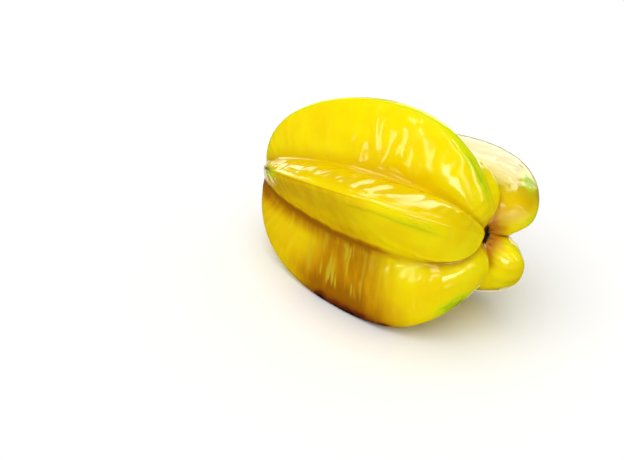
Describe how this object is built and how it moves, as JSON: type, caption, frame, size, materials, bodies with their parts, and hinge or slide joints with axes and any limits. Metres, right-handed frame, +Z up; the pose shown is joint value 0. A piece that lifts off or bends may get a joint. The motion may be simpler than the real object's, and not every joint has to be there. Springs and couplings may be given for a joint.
{
  "type": "star fruit",
  "caption": "Whole ripe star fruit with star-shaped cross-section, waxy yellow ribs and a dry stalk scar in the pit at its stem end, lying on two ribs.",
  "frame": {"origin": "on the surface the fruit lies on, under the centre of its bounding box", "axes": "+X towards the stalk end, close to the fruit's own axis, which rises 7.6 degrees that way; +Z up"},
  "size_m": [0.1002, 0.078, 0.0782],
  "materials": {
    "skin": "waxy, glossy yellow fruit skin with green crests",
    "dry_stalk": "dry, dark, broken stalk end",
    "dry_calyx": "dry, nearly black, leaf-like scales"
  },
  "bodies": {
    "root": {"fruit": "skin", "stalk_stub": "dry_stalk", "calyx_scale_1": "dry_calyx", "calyx_scale_2": "dry_calyx", "calyx_scale_3": "dry_calyx", "calyx_scale_4": "dry_calyx", "calyx_scale_5": "dry_calyx"}
  },
  "joints": []
}
